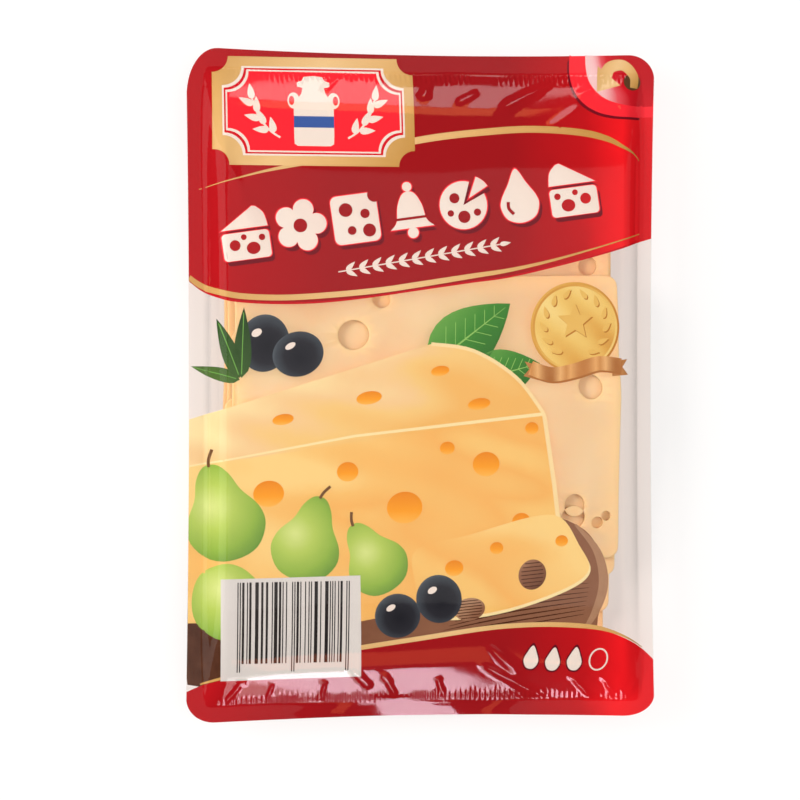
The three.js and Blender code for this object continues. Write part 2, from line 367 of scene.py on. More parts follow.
def clear_plastic(name, tint, gloss_roughness, ripple, ripple_size, slanted_gloss, straight_gloss):
    """Thin clear plastic. What lies behind it shows unbent, and its gloss grows at a slant."""
    material, tree, out = fresh_material(name)
    place = add(tree, "TexCoord").outputs["Object"]
    waves = add(tree, "TexNoise", {"Vector": place, "Scale": per_mm(ripple_size), "Detail": 2.0})
    bump = add(tree, "Bump", {"Height": waves.outputs["Fac"], "Strength": 1.0,
                              "Distance": ripple * MM}).outputs["Normal"]
    slant = add(tree, "LayerWeight", {"Blend": 0.5, "Normal": bump}).outputs["Facing"]
    steep = add(tree, "Math", {0: slant, 1: 5.0}, operation="POWER").outputs[0]
    share = add(tree, "Math", {0: steep, 1: slanted_gloss, 2: straight_gloss},
                operation="MULTIPLY_ADD").outputs[0]
    through = add(tree, "BsdfTransparent", {"Color": linear(tint)}).outputs[0]
    gloss = add(tree, "BsdfGlossy", {"Color": (1, 1, 1, 1), "Roughness": gloss_roughness,
                                     "Normal": bump}).outputs[0]
    mixed = add(tree, "MixShader", {0: share, 1: through, 2: gloss}).outputs[0]
    tree.links.new(mixed, out.inputs["Surface"])
    return material


def ink(name, stops, roughness=0.55, grain=0.05):
    """Gravure ink. Its colours follow the piece's own shade, with the ink's faint unevenness."""
    material, tree, out = fresh_material(name)
    place = add(tree, "TexCoord").outputs["Object"]
    shade = add(tree, "Attribute", attribute_name="shade").outputs["Fac"]
    cloud = add(tree, "TexNoise", {"Vector": place, "Scale": per_mm(3.2), "Detail": 5.0,
                                   "Roughness": 0.65}).outputs["Fac"]
    uneven = add(tree, "MapRange", {"Value": cloud, "To Min": -grain, "To Max": grain})
    value = add(tree, "Math", {0: shade, 1: uneven.outputs[0]}, operation="ADD").outputs[0]
    color = add(tree, "ValToRGB", {"Fac": value}, stops).outputs["Color"]
    shader = add(tree, "BsdfPrincipled", {"Base Color": color, "Roughness": roughness,
                                          "Specular IOR Level": 0.0}).outputs[0]
    tree.links.new(shader, out.inputs["Surface"])
    return material


def red_ink():
    """The pack's red field, darker in the middle and brighter to both sides: partly the print's own
    gradient, partly painted reflection of the film across it.
    """
    material, tree, out = fresh_material("gravure_red_ink")
    place = add(tree, "TexCoord").outputs["Object"]
    split = add(tree, "SeparateXYZ", {0: place})
    across = add(tree, "MapRange", {"Value": split.outputs["X"], "From Min": -HALF_WIDTH * MM,
                                    "From Max": HALF_WIDTH * MM}).outputs[0]
    cloud = add(tree, "TexNoise", {"Vector": place, "Scale": per_mm(14), "Detail": 4.0}).outputs["Fac"]
    value = add(tree, "MapRange", {"Value": cloud, "To Min": -0.03, "To Max": 0.03}).outputs[0]
    value = add(tree, "Math", {0: across, 1: value}, operation="ADD").outputs[0]
    # Partly painted reflection: the darker middle and brighter sides stand in part for the film's sheen.
    stops = [(0.03, "#b0171e"), (0.14, "#a5171d"), (0.3, "#99191e"), (0.68, "#99191e"),
             (0.84, "#b9181e"), (0.92, "#e81d24"), (0.98, "#da1c24")]
    color = add(tree, "ValToRGB", {"Fac": value}, stops).outputs["Color"]
    shader = add(tree, "BsdfPrincipled", {"Base Color": color, "Roughness": 0.5,
                                          "Specular IOR Level": 0.0}).outputs[0]
    tree.links.new(shader, out.inputs["Surface"])
    return material


def cheese():
    """Semi-hard cheese, smooth and a little moist. It is paler and yellower at its cut edges and round
    its eyes: painted light, for the light that comes through the cheese at its edges and against the
    shade in its eyes.
    """
    material, tree, out = fresh_material("cut_cheese")
    place = add(tree, "TexCoord").outputs["Object"]
    cloud = add(tree, "TexNoise", {"Vector": place, "Scale": per_mm(16), "Detail": 3.0}).outputs["Fac"]
    edge = add(tree, "Attribute", attribute_name="shade").outputs["Fac"]
    stops = [(0.3, "#e8c194"), (0.5, "#ebc99c"), (0.7, "#eecfa3")]
    body = add(tree, "ValToRGB", {"Fac": cloud}, stops).outputs["Color"]
    # Painted light: this mix lightens the cut edges and the eyes, as a glow of light through the cheese
    # and against the shade in its eyes.
    rim = add(tree, "Mix", {0: edge, 6: body, 7: linear("#f7d19b")}, data_type="RGBA").outputs[2]
    grain = add(tree, "TexNoise", {"Vector": place, "Scale": per_mm(1.1), "Detail": 4.0}).outputs["Fac"]
    bump = add(tree, "Bump", {"Height": grain, "Strength": 0.5, "Distance": 0.06 * MM})
    shader = add(tree, "BsdfPrincipled", {
        "Base Color": rim, "Roughness": 0.42, "Subsurface Weight": 0.25,
        "Subsurface Radius": (1.0, 0.6, 0.3), "Subsurface Scale": 2.0 * MM,
        "Normal": bump.outputs["Normal"]}).outputs[0]
    tree.links.new(shader, out.inputs["Surface"])
    return material


def light_table():
    """A milky light table, softly lit from below, so that the clear tray stays bright."""
    material, tree, out = fresh_material("milky_light_table")
    place = add(tree, "TexCoord").outputs["Object"]
    cloud = add(tree, "TexNoise", {"Vector": place, "Scale": per_mm(330), "Detail": 2.0}).outputs["Fac"]
    stops = [(0.3, "#989898"), (0.7, "#9c9c9c")]
    color = add(tree, "ValToRGB", {"Fac": cloud}, stops).outputs["Color"]
    shader = add(tree, "BsdfPrincipled", {"Base Color": color, "Roughness": 0.9,
                                          "Specular IOR Level": 0.0,
                                          "Emission Color": linear("#fffefd"),
                                          "Emission Strength": 0.615}).outputs[0]
    tree.links.new(shader, out.inputs["Surface"])
    return material


# The lid film: clear, with small sharp highlights that follow its folds and its drawn sides.
FILM = clear_plastic("polyester_lid_film", "#fefdfc", 0.045, 0.006, 5, 0.95, 0.04)
# The formed tray: clear and a little warm, with softer highlights on its wavy walls.
TRAY = clear_plastic("formed_clear_tray", "#fffbf9", 0.09, 0.03, 9, 0.15, 0.015)
CHEESE = cheese()
RED = red_ink()
# The plaque and the peel band: the most vivid red on the pack.
BRIGHT_RED = ink("bright_red_ink", [(0.0, "#f32c38"), (0.5, "#ea2f3c"), (1.0, "#b3101b")])
# The long lines and the plaque's rim: dull warm gold that lightens and darkens along them.
GOLD = ink("gold_bronze_ink", [(0.0, "#c99d5c"), (0.45, "#e0bd88"), (0.7, "#d6ac70"),
                               (1.0, "#bd8f4b")], roughness=0.4)
# The drawn shapes: nearly white, and warm against the red.
CREAM = ink("cream_ink", [(0.0, "#e4dad2"), (0.5, "#e5d7cd"), (1.0, "#e0ccc3")])
# Dark edges under the drawn shapes, which seem to lift them off the field.
SHADOW = ink("dark_red_ink", [(0.0, "#7d1420"), (1.0, "#5f1622")])
# The churn's stripe: the one cold colour.
BLUE = ink("blue_ink", [(0.0, "#3a589d"), (1.0, "#46619f")])
# The peel corner: deep red that fades to a pale pink glow.
PEEL = ink("peel_corner_ink", [(0.0, "#b81520"), (0.35, "#c81c28"), (0.6, "#d8525b"),
                               (0.85, "#e8b4b7"), (1.0, "#e8c8c8")], grain=0.02)
# The medal: gold from pale to brown, so that its flat rings look bevelled.
MEDAL_GOLD = ink("medal_gold_ink", [(0.0, "#e8d08a"), (0.3, "#e0bd6c"), (0.55, "#d4a350"),
                                    (0.8, "#bd8035"), (1.0, "#a06426")], roughness=0.4)
# The medal's ribbon: light and dark bands, as on a folded ribbon.
RIBBON = ink("bronze_ribbon_ink", [(0.0, "#b87a44"), (0.3, "#d9a468"), (0.5, "#c58a50"),
                                   (0.75, "#dcab72"), (1.0, "#a66a38")], roughness=0.4)
# The label: a flat white that looks slightly grey beside the red.
LABEL_WHITE = ink("label_white_ink", [(0.0, "#cec9c6"), (1.0, "#d5cfcb")], grain=0.02)
# The label's bars: a soft near black.
BAR_BLACK = ink("bar_black_ink", [(0.0, "#34302f"), (1.0, "#2b2627")])
# The pictured board: brown wood, pale at its lip and dark in its grain.
BOARD = ink("board_brown_ink", [(0.0, "#ab8467"), (0.3, "#8b6049"), (0.7, "#754c39"),
                                (1.0, "#482a1e")], grain=0.12)
# The pictured stems, and the ground behind the arrow.
BROWN = ink("stem_brown_ink", [(0.0, "#8a6242"), (1.0, "#4c3220")])
# The pictured cheese, yellower than the real slices: its pale top, its deeper side and its eyes.
CHEESE_TOP = ink("cheese_light_ink", [(0.0, "#ead6a2"), (0.35, "#e6c28f"), (0.6, "#e6c07c"),
                                      (1.0, "#e4b166")], grain=0.08)
CHEESE_SIDE = ink("cheese_deep_ink", [(0.0, "#eac883"), (0.35, "#e7b76c"), (0.7, "#e6ae62"),
                                      (1.0, "#e8bd72")], grain=0.08)
CHEESE_HOLE = ink("cheese_hole_ink", [(0.0, "#dd8424"), (0.6, "#ea9a2a"), (1.0, "#ecaf50")])
# The pictured pears: pale green at the light, deep green at the rim.
PEAR_SKIN = ink("pear_green_ink", [(0.0, "#cdd88a"), (0.35, "#adc25e"), (0.7, "#8dad4a"),
                                   (1.0, "#618c3e")])
# The pictured leaves: bright ones with light veins, and dull dark ones.
FRESH_LEAF = ink("fresh_green_ink", [(0.0, "#9cc76c"), (0.15, "#6fa54f"), (0.5, "#438436"),
                                     (1.0, "#2c5c2a")])
DARK_LEAF = ink("dark_green_ink", [(0.0, "#5d7a3e"), (0.5, "#3d5a30"), (1.0, "#2c4426")])
# The pictured plums: nearly black, with a grey bloom towards the rim.
PLUM_SKIN = ink("plum_dark_ink", [(0.0, "#232329"), (0.45, "#2d2d33"), (0.7, "#43484f"),
                                  (0.9, "#646d75"), (1.0, "#78838b")])


# Tray

def tray_ring(box, inset, height):
    """One ring of the tray. It rises with the lifted corners, except at the flat floor."""
    ring = []
    for x, y in outline(box, inset):
        near = 0 if height < TRAY_WALL + FLOOR_RADIUS else min(1, height / FLANGE_TOP)
        px, py = drawn_in(x, y)
        wave = flange_wave(px, py) * smooth(0.8, 1, height / FLANGE_TOP)
        ring.append((px, py, height + corner_lift(x, y) * near + wave))
    return ring


def make_tray():
    rings = []
    arc_middle = TRAY_WALL + FLOOR_RADIUS
    arc_inset = WALL_DRAFT + FLOOR_RADIUS
    arc_steps = 6
    quarter = [step / arc_steps * math.pi / 2 for step in range(arc_steps + 1)]
    outer = FLOOR_RADIUS + TRAY_WALL
    for angle in reversed(quarter):
        rings.append(tray_ring(POCKET, arc_inset - outer * math.cos(angle),
                               arc_middle - outer * math.sin(angle)))
    rings.append(tray_ring(POCKET, -TRAY_WALL, FLANGE_TOP - TRAY_WALL))
    rings.append(tray_ring(PACK, 0.12, FLANGE_TOP - TRAY_WALL))
    rings.append(tray_ring(PACK, 0, FLANGE_TOP - TRAY_WALL / 2))
    rings.append(tray_ring(PACK, 0.12, FLANGE_TOP))
    rings.append(tray_ring(POCKET, -0.25, FLANGE_TOP))
    rings.append(tray_ring(POCKET, 0, FLANGE_TOP - 0.15))
    for angle in quarter:
        rings.append(tray_ring(POCKET, arc_inset - FLOOR_RADIUS * math.cos(angle),
                               arc_middle - FLOOR_RADIUS * math.sin(angle)))
    bm = bmesh.new()
    first, last = skin(bm, rings)
    bmesh.ops.contextual_create(bm, geom=first)
    bmesh.ops.contextual_create(bm, geom=last)
    bmesh.ops.recalc_face_normals(bm, faces=bm.faces[:])
    link("tray_shell", bm, TRAY, ["tray"], sharp=35)


# Cheese

def lay_out():
    """Each slice's underside along Y: it lies on those below and bends no more than it can."""
    floor = TRAY_WALL + FIRST_GAP
    step = 1.0
    laid = []
    for cut in SLICES:
        more = SLICE["width"] / 2 * abs(math.sin(math.radians(cut["turn"])))
        low, high = cut["lower"] - more, cut["lower"] + SLICE["height"] + more
        count = round((high - low) / step)
        held = [(y, z + SLICE["thickness"] + SLICE_GAP) for under in laid for y, z in under
                if low - step <= y <= high + step]
        laid.append([(y, max([floor] + [z - SLICE_BEND * abs(y - at) for at, z in held]))
                     for y in (low + (high - low) * i / count for i in range(count + 1))])
    return laid


def height_along(under, y):
    """Height of a laid underside at y, softened over a few millimetres."""
    low, step = under[0][0], under[1][0] - under[0][0]
    total = 0.0
    offsets = (-2, -1, 0, 1, 2)
    for offset in offsets:
        place = min(len(under) - 1.001, max(0, (y + offset - low) / step))
        index = int(place)
        share = place - index
        total += under[index][1] * (1 - share) + under[index + 1][1] * share
    return total / len(offsets)


def make_slice(number, cut, under):
    thick = SLICE["thickness"]
    # Rounded cut edges: inset and height of each ring from the underside up.
    rim = [(0.4, 0), (0.12, 0.1), (0, 0.4), (0, thick - 0.4), (0.12, thick - 0.1), (0.4, thick)]
    half = SLICE["width"] / 2, SLICE["height"] / 2
    box = dict(left=-half[0], right=half[0], bottom=-half[1], top=half[1],
               corners=[(SLICE["corner"],) * 2] * 4)
    turn = math.radians(cut["turn"])
    center = Vector((cut["right"] - half[0], cut["lower"] + half[1]))
    draw = random.Random(number * 17)

    def placed(x, y):
        # Cut slices have slightly uneven edges.
        x += 0.25 * noise.noise(Vector((y / 14, number * 3.1, 0)))
        y += 0.25 * noise.noise(Vector((x / 14, number * 5.3, 4)))
        return (center.x + x * math.cos(turn) - y * math.sin(turn),
                center.y + x * math.sin(turn) + y * math.cos(turn))

    bm = bmesh.new()
    rings = [[(*placed(x, y), z) for x, y in outline(box, inset, 6, 30)] for inset, z in rim]
    low_loop, high_loop = skin(bm, rings)
    for x, y, radius in cut["eyes"]:
        # An eye is a bubble cut through: its wall bulges, and its mouth is rounded by the knife.
        bubble = draw.uniform(0.2, 0.5) * thick
        ball = math.hypot(radius, thick - bubble)
        wobble = draw.uniform(0, 6)
        eye = []
        for inset, z in rim:
            wall = math.sqrt(ball * ball - (z - bubble) ** 2) + inset * 0.6
            eye.append([(x + wall * math.cos(a) * (1 + 0.03 * math.sin(2 * a + wobble)),
                         y + wall * math.sin(a) * (1 + 0.03 * math.sin(2 * a + wobble)), z)
                        for a in (i / 40 * 2 * math.pi for i in range(40))])
        low_eye, high_eye = skin(bm, eye)
        low_loop += low_eye
        high_loop += high_eye
    bmesh.ops.triangle_fill(bm, edges=low_loop, use_beauty=True)
    bmesh.ops.triangle_fill(bm, edges=high_loop, use_beauty=True)
    cut_lines(bm, bm.faces[:], steps_between(cut["lower"], cut["lower"] + SLICE["height"], 2.5), 1)
    cut_lines(bm, bm.faces[:], steps_between(-60, 60, 6), 0)
    shade = bm.verts.layers.float.new("shade")
    for vert in bm.verts:
        x, y = vert.co.xy
        edge = min(cut["right"] - x, x - cut["right"] + SLICE["width"],
                   y - cut["lower"], cut["lower"] + SLICE["height"] - y)
        eye_edge = min(math.hypot(x - eye_x, y - eye_y) - radius for eye_x, eye_y, radius in cut["eyes"])
        # Painted light: the slice is made paler towards its cut edges, where light shines through the
        # cheese, and its eyes' walls are made lighter against their shade.
        vert[shade] = max(1 - smooth(0.5, 6, edge), 0.8 - 0.8 * smooth(0.4, 2, eye_edge))
        vert.co.z += height_along(under, y)
    bmesh.ops.recalc_face_normals(bm, faces=bm.faces[:])
    link(f"cheese_{number}", bm, CHEESE, [f"slice_{number}"], sharp=40)


# Curves and outlines of the print, as points in millimetres

def ellipse(x, y, wide, high=None, turn=0.0, steps=36):
    high = wide if high is None else high
    angle = math.radians(turn)
    return [(x + wide * math.cos(a) * math.cos(angle) - high * math.sin(a) * math.sin(angle),
             y + wide * math.cos(a) * math.sin(angle) + high * math.sin(a) * math.cos(angle))
            for a in (i / steps * 2 * math.pi for i in range(steps))]


def curve(points, steps=6, closed=False):
    """A smooth line through the points."""
    count = len(points)
    found = []
    for i in range(count if closed else count - 1):
        ids = [i - 1, i, i + 1, i + 2]
        p0, p1, p2, p3 = (Vector(points[k % count] if closed else points[min(count - 1, max(0, k))])
                          for k in ids)
        for step in range(steps):
            t = step / steps
            at = 0.5 * (2 * p1 + (p2 - p0) * t + (2 * p0 - 5 * p1 + 4 * p2 - p3) * t * t
                        + (3 * p1 - p0 - 3 * p2 + p3) * t ** 3)
            found.append(tuple(at))
    if not closed:
        found.append(tuple(points[-1]))
    return found


def band(line, width):
    """The outline of a stripe along a line. Its width is a number or a function of the share."""
    left, right = [], []
    for i, point in enumerate(line):
        ahead = Vector(line[min(i + 1, len(line) - 1)]) - Vector(line[max(i - 1, 0)])
        share = i / (len(line) - 1)
        half = (width(share) if callable(width) else width) / 2
        side = Vector((-ahead.y, ahead.x)).normalized() * half
        left.append(tuple(Vector(point) + side))
        right.append(tuple(Vector(point) - side))
    return right + left[::-1]


def moved(points, x, y, turn=0.0, scale=1.0, mirror=False):
    angle = math.radians(turn)
    found = []
    for u, v in points:
        u = -u if mirror else u
        found.append((x + scale * (u * math.cos(angle) - v * math.sin(angle)),
                      y + scale * (u * math.sin(angle) + v * math.cos(angle))))
    return found[::-1] if mirror else found


def grown(points, by):
    """The outline scaled from its middle so that it stands out by about this much."""
    middle_x = sum(x for x, _ in points) / len(points)
    middle_y = sum(y for _, y in points) / len(points)
    reach = sum(math.hypot(x - middle_x, y - middle_y) for x, y in points) / len(points)
    more = 1 + by / reach
    return [(middle_x + (x - middle_x) * more, middle_y + (y - middle_y) * more) for x, y in points]


def held_in(points):
    """The outline kept within the pack's two long sides."""
    found = []
    for x, y in points:
        limit = drawn_in(HALF_WIDTH, y)[0] - 0.05
        found.append((min(limit, max(-limit, x)), y))
    return found


def leaf(x, y, length, width, turn, tip=0.62):
    """A pointed leaf from its base."""
    side = [(length * share, width / 2 * math.sin(math.pi * share ** tip) ** 0.9)
            for share in (i / 10 for i in range(1, 10))]
    points = [(0, 0)] + [(u, -v) for u, v in side] + [(length, 0)] + side[::-1]
    return moved(points, x, y, turn)


def round_tone(x, y, radius, light=(-0.35, 0.4)):
    """Tone of a round thing: 0 at its light spot, 1 at its far rim."""
    return lambda px, py: min(1.0, math.hypot(px - x - light[0] * radius,
                                              py - y - light[1] * radius) / (1.45 * radius))


def slope_tone(start, end):
    """Tone that runs from 0 to 1 between two points."""
    start, along = Vector(start), Vector(end) - Vector(start)
    return lambda px, py: (Vector((px, py)) - start).dot(along) / along.length_squared


def cloudy(tone):
    """The tone with soft uneven light over it, as a photographed thing has."""
    return lambda px, py: tone(px, py) + 0.55 * noise.noise(Vector((px / 26, py / 9 + px / 40, 3.0)))


def flat_tone(value):
    return lambda px, py: value


# Lid film and its print

EDGE = [drawn_in(x, y) for x, y in outline(PACK)]


def edge_part(keep):
    """The stretch of the pack's edge that a test keeps, counterclockwise."""
    count = len(EDGE)
    start = next(i for i in range(count) if keep(EDGE[i]) and not keep(EDGE[i - 1]))
    found = []
    while keep(EDGE[start % count]):
        found.append(EDGE[start % count])
        start += 1
    return found


def make_film():
    bm = bmesh.new()
    sheet(bm, EDGE)
    drape(bm, -FILM_THICKNESS)
    thicken(bm, FILM_THICKNESS)
    bmesh.ops.recalc_face_normals(bm, faces=bm.faces[:])
    link("film", bm, FILM, ["lid_film"], sharp=65)


def make_print(name, material, layer, shapes, step=COLUMN):
    """One ink: shapes as (outline, tone), on one layer. A higher layer is nearer to the film."""
    bm = bmesh.new()
    tone_layer = bm.verts.layers.float.new("shade")
    for points, tone in shapes:
        before = set(bm.verts)
        sheet(bm, held_in(points), step)
        for vert in bm.verts:
            if vert not in before:
                vert[tone_layer] = tone(vert.co.x, vert.co.y)
    drape(bm, INK_CLEARANCE + INK_STEP * (INK_LAYERS - layer))
    thicken(bm, INK_THICKNESS)
    bmesh.ops.recalc_face_normals(bm, faces=bm.faces[:])
    piece = link(name, bm, material, sharp=65)
    # The ink throws no shadow, so that the cheese and the tray beside it stay as bright as they are.
    piece.visible_shadow = False
    return piece


# The red fields and the gold lines along them. Each line is given from left to right.
TOP_FIELD_EDGE = [(-65.7, 28.9), (-62.5, 26.4), (-58.6, 24.4), (-53.6, 23.0), (-43.6, 22.4),
                  (-31.7, 22.6), (-18.6, 23.9), (-1.7, 26.4), (12.4, 28.5), (23.5, 30.1),
                  (38.0, 33.5), (52.0, 37.3), (60.2, 40.0), (65.75, 41.7)]
LOWER_GOLD = [(-65.6, 30.0), (-62.8, 27.9), (-58.6, 26.0), (-51.9, 24.6), (-40.3, 24.2),
              (-26.9, 25.0), (-13.0, 26.4), (-1.7, 28.1), (12.4, 30.4), (23.5, 32.2),
              (35.7, 35.0), (49.4, 38.9), (62.7, 43.1)]
UPPER_GOLD = [(-62.8, 54.3), (-54.7, 56.6), (-45.8, 59.0), (-37.1, 60.9), (-26.8, 63.0),
              (-17.0, 65.4), (-6.8, 67.4), (4.2, 69.4), (15.6, 70.8), (27.0, 71.8),
              (36.1, 71.8), (45.6, 71.0), (52.1, 69.4), (56.1, 67.4), (59.9, 65.4), (62.6, 63.1)]
BOTTOM_FIELD_EDGE = [(-66.3, -85.0), (-62.5, -83.4), (-57.7, -81.9), (-46.1, -78.6), (-32.2, -75.7),
                     (-18.2, -73.5), (-1.4, -71.1), (16.7, -68.5), (26.9, -67.7), (36.9, -67.6),
                     (46.9, -68.3), (52.9, -69.6), (58.6, -72.0), (62.9, -74.6), (66.0, -77.5)]


def make_fields():
    top_edge = curve(TOP_FIELD_EDGE, 8)
    top_limit = TOP_FIELD_EDGE[-1][1], TOP_FIELD_EDGE[0][1]
    top = edge_part(lambda p: p[1] > (top_limit[0] if p[0] > 0 else top_limit[1]))
    bottom_edge = curve(BOTTOM_FIELD_EDGE, 8)
    low_limit = BOTTOM_FIELD_EDGE[-1][1], BOTTOM_FIELD_EDGE[0][1]
    bottom = edge_part(lambda p: p[1] < (low_limit[0] if p[0] > 0 else low_limit[1]))
    make_print("red_field_top", RED, 9, [(top_edge + top, flat_tone(0))])
    make_print("red_field_bottom", RED, 9, [(bottom_edge[::-1] + bottom, flat_tone(0))])

    def lower_width(share):
        return 0.25 + 1.35 * smooth(-0.25, 0.12, share) * (1 - smooth(0.55, 1.02, share))

    def upper_width(share):
        return 0.2 + 1.75 * smooth(0, 0.4, share) * (1 - smooth(0.72, 1.0, share))

    def bottom_width(share):
        return 0.25 + 1.1 * smooth(-0.1, 0.3, share) * (1 - smooth(0.7, 1.0, share))

    raised = [(x, y + 0.45) for x, y in BOTTOM_FIELD_EDGE[1:-1]]
    lines = [band(curve(LOWER_GOLD, 8), lower_width), band(curve(UPPER_GOLD, 8), upper_width),
             band(curve(raised, 8), bottom_width)]
    tone = slope_tone((-60, 0), (60, 20))
    make_print("gold_lines", GOLD, 10, [(line, tone) for line in lines])
    bright = [(x, y + 0.25) for x, y in TOP_FIELD_EDGE[1:-1]]
    make_print("bright_edge", BRIGHT_RED, 10,
               [(band(curve(bright, 8), 0.5), flat_tone(0.9))])


# The plaque at the upper left: an emblem of a milk churn between two sprigs.
PLAQUE = (-31.1, 76.1)
PLAQUE_HALF = (28.2, 15.3)
PLAQUE_NOTCH = 4.5


def ticket(inset):
    """The plaque's outline, with its corners cut out round, at an inset."""
    wide, high = PLAQUE_HALF[0] - inset, PLAQUE_HALF[1] - inset
    notch = PLAQUE_NOTCH + inset * 0.4
    points = []
    steps = 8
    for number, (sign_x, sign_y) in enumerate(((1, 1), (-1, 1), (-1, -1), (1, -1))):
        turned = [math.radians(270 - 90 * step / steps + 90 * number) for step in range(steps + 1)]
        points += [(PLAQUE[0] + sign_x * wide + notch * math.cos(a),
                    PLAQUE[1] + sign_y * high + notch * math.sin(a)) for a in turned]
    return points


def churn():
    half = [(0, -9.8), (4.6, -9.8), (5.5, -9.2), (5.6, -7), (5.6, 0.5), (5.1, 2.6), (3.4, 5.0),
            (3.0, 6.6), (4.5, 7.0), (4.6, 8.2), (3.2, 8.7), (2.6, 9.8), (0, 10.1)]
    return half + [(-x, y) for x, y in half[-2:0:-1]]


def make_plaque():
    tone = slope_tone((PLAQUE[0] - 28, PLAQUE[1] + 14), (PLAQUE[0] + 28, PLAQUE[1] - 14))
    make_print("plaque_rim", GOLD, 11, [(ticket(0), tone)])
    inner = [("line_outer", CREAM, 2.7, 0.3), ("line_between", BRIGHT_RED, 3.2, 0.8),
             ("line_inner", CREAM, 3.65, 0.3), ("field", BRIGHT_RED, 4.1, 0.1)]
    for layer, (part, material, inset, value) in enumerate(inner, 12):
        make_print("plaque_" + part, material, layer, [(ticket(inset), flat_tone(value))])
    shapes = [moved(churn(), *PLAQUE)]
    shapes += [ellipse(PLAQUE[0] + side * 5.6, PLAQUE[1] + 3.0, 1.7, 2.3) for side in (-1, 1)]
    for side in (-1, 1):
        stem = [(9.5, -7.5), (12.5, -5.4), (15.4, -1.6), (17.2, 3.4)]
        shapes.append(moved(band(curve(stem, 5), 0.55), *PLAQUE, mirror=side < 0))
        for u, v, turn in ((11.2, -6.2, 78), (13.8, -3.9, 66), (15.9, -0.5, 88), (17.2, 3.2, 82),
                           (12.6, -5.4, 2), (15.0, -2.4, 14), (16.8, 1.6, 26)):
            shapes.append(moved(leaf(u, v, 4.6, 2.0, turn), *PLAQUE, mirror=side < 0))
    make_print("plaque_emblem", CREAM, 16, [(points, flat_tone(0.4)) for points in shapes],
               step=0.5)
    rings = [ellipse(PLAQUE[0] + side * 6.15, PLAQUE[1] + 3.0, 0.75, 1.3) for side in (-1, 1)]
    make_print("plaque_handles", BRIGHT_RED, 17, [(points, flat_tone(0.1)) for points in rings],
               step=0.5)
    stripe = [(-5.62, -4.6), (5.62, -4.6), (5.62, -1.4), (-5.62, -1.4)]
    make_print("plaque_stripe", BLUE, 17, [(moved(stripe, *PLAQUE), flat_tone(0.5))], step=0.5)


# The row of large pictures under the plaque, each drawn in a box 13.6 by 15.6 mm.
ROW_START = (-56.2, 33.4)
ROW_END_PLACE = (51.2, 48.6)


def pie(x, y, radius, start, end, steps=30):
    """A disc's part between two angles, with its point at the middle."""
    angles = [math.radians(start + (end - start) * i / steps) for i in range(steps + 1)]
    return [(x, y)] + [(x + radius * math.cos(a), y + radius * math.sin(a)) for a in angles]


def rounded_box(x0, y0, x1, y1, radius):
    box = dict(left=x0, right=x1, bottom=y0, top=y1, corners=[(radius, radius)] * 4)
    return outline(box, 0, 5, 3)


def row_pictures():
    """Each picture's outlines, and the outlines of what is left out of them."""
    wedge = ([rounded_box(0.2, 0.4, 13.4, 8.0, 1.1), curve([(0.3, 9.0), (9.6, 14.9)], 4)
              + curve([(10.6, 14.7), (12.6, 12.6), (13.3, 9.0)], 4)],
             [ellipse(3.6, 4.6, 1.5), ellipse(8.6, 3.3, 1.9, 1.7), ellipse(11.3, 6.0, 0.9),
              ellipse(6.3, 6.6, 0.8)])
    flower = ([[(6.8 + (4.6 + 2.7 * abs(math.cos(2.5 * a)) ** 0.7) * math.cos(a),
                 7.7 + (4.6 + 2.7 * abs(math.cos(2.5 * a)) ** 0.7) * math.sin(a))
                for a in (i / 90 * 2 * math.pi for i in range(90))]],
              [ellipse(6.8, 7.7, 1.9)])
    cut = ([rounded_box(0.4, 0.8, 13.2, 14.2, 1.8)],
           [ellipse(4.4, 10.2, 1.9), ellipse(9.6, 8.6, 1.3), ellipse(5.4, 4.4, 1.2),
            ellipse(10.2, 3.9, 1.8), ellipse(12.9, 13.4, 2.0)])
    bell = ([curve([(0.7, 2.9), (2.6, 4.9), (3.4, 9.0), (4.9, 12.1), (6.8, 13.0), (8.7, 12.1),
                    (10.2, 9.0), (11.0, 4.9), (12.9, 2.9)], 5), ellipse(6.8, 1.6, 1.5),
             ellipse(6.8, 14.3, 1.3)],
            [band([(2.2, 5.6), (11.4, 5.6)], 0.7)])
    wheel = ([pie(6.4, 7.2, 6.6, 68, 382), pie(8.2, 8.9, 6.2, 26, 64, 8)],
             [ellipse(4.2, 9.4, 1.4), ellipse(6.2, 4.0, 1.7), ellipse(2.6, 5.4, 0.9),
              ellipse(10.0, 4.8, 1.0)])
    drop = ([curve([(6.8, 15.2), (4.2, 11.0), (2.0, 7.4), (1.5, 4.8), (3.0, 1.6), (6.8, 0.3),
                    (10.6, 1.6), (12.1, 4.8), (11.6, 7.4), (9.4, 11.0)], 5, closed=True)],
            [band(curve([(3.7, 6.4), (3.6, 4.6), (4.8, 2.9)], 5), 0.9)])
    other = ([moved(points, 13.6, 0, mirror=True) for points in wedge[0]],
             [moved(points, 13.6, 0, mirror=True) for points in wedge[1]])
    return [wedge, flower, cut, bell, wheel, drop, other]


def make_row():
    start, end = Vector(ROW_START), Vector(ROW_END_PLACE)
    turn = math.degrees(math.atan2(end.y - start.y, end.x - start.x))
    pictures = row_pictures()
    shadows, rims, faces, holes = [], [], [], []
    drop_x, drop_y = 0.95, -1.25
    for number, (bodies, left_out) in enumerate(pictures):
        at = start.lerp(end, number / len(pictures))
        scale = 1.0 + 0.035 * number / len(pictures)
        place = (at.x, at.y, turn, scale)
        for points in bodies:
            laid = moved(points, *place)
            faces.append((laid, slope_tone((at.x, at.y), (at.x + 14, at.y + 14))))
            rims.append((grown(laid, 0.32), flat_tone(0.5)))
            shadows.append(([(x + drop_x, y + drop_y) for x, y in laid], flat_tone(0.5)))
        holes += [(moved(points, *place), flat_tone(0)) for points in left_out]
    make_print("row_shadows", SHADOW, 10, shadows)
    make_print("row_rims", BRIGHT_RED, 11, rims)
    make_print("row_faces", CREAM, 13, faces)
    make_print("row_holes", RED, 15, holes)


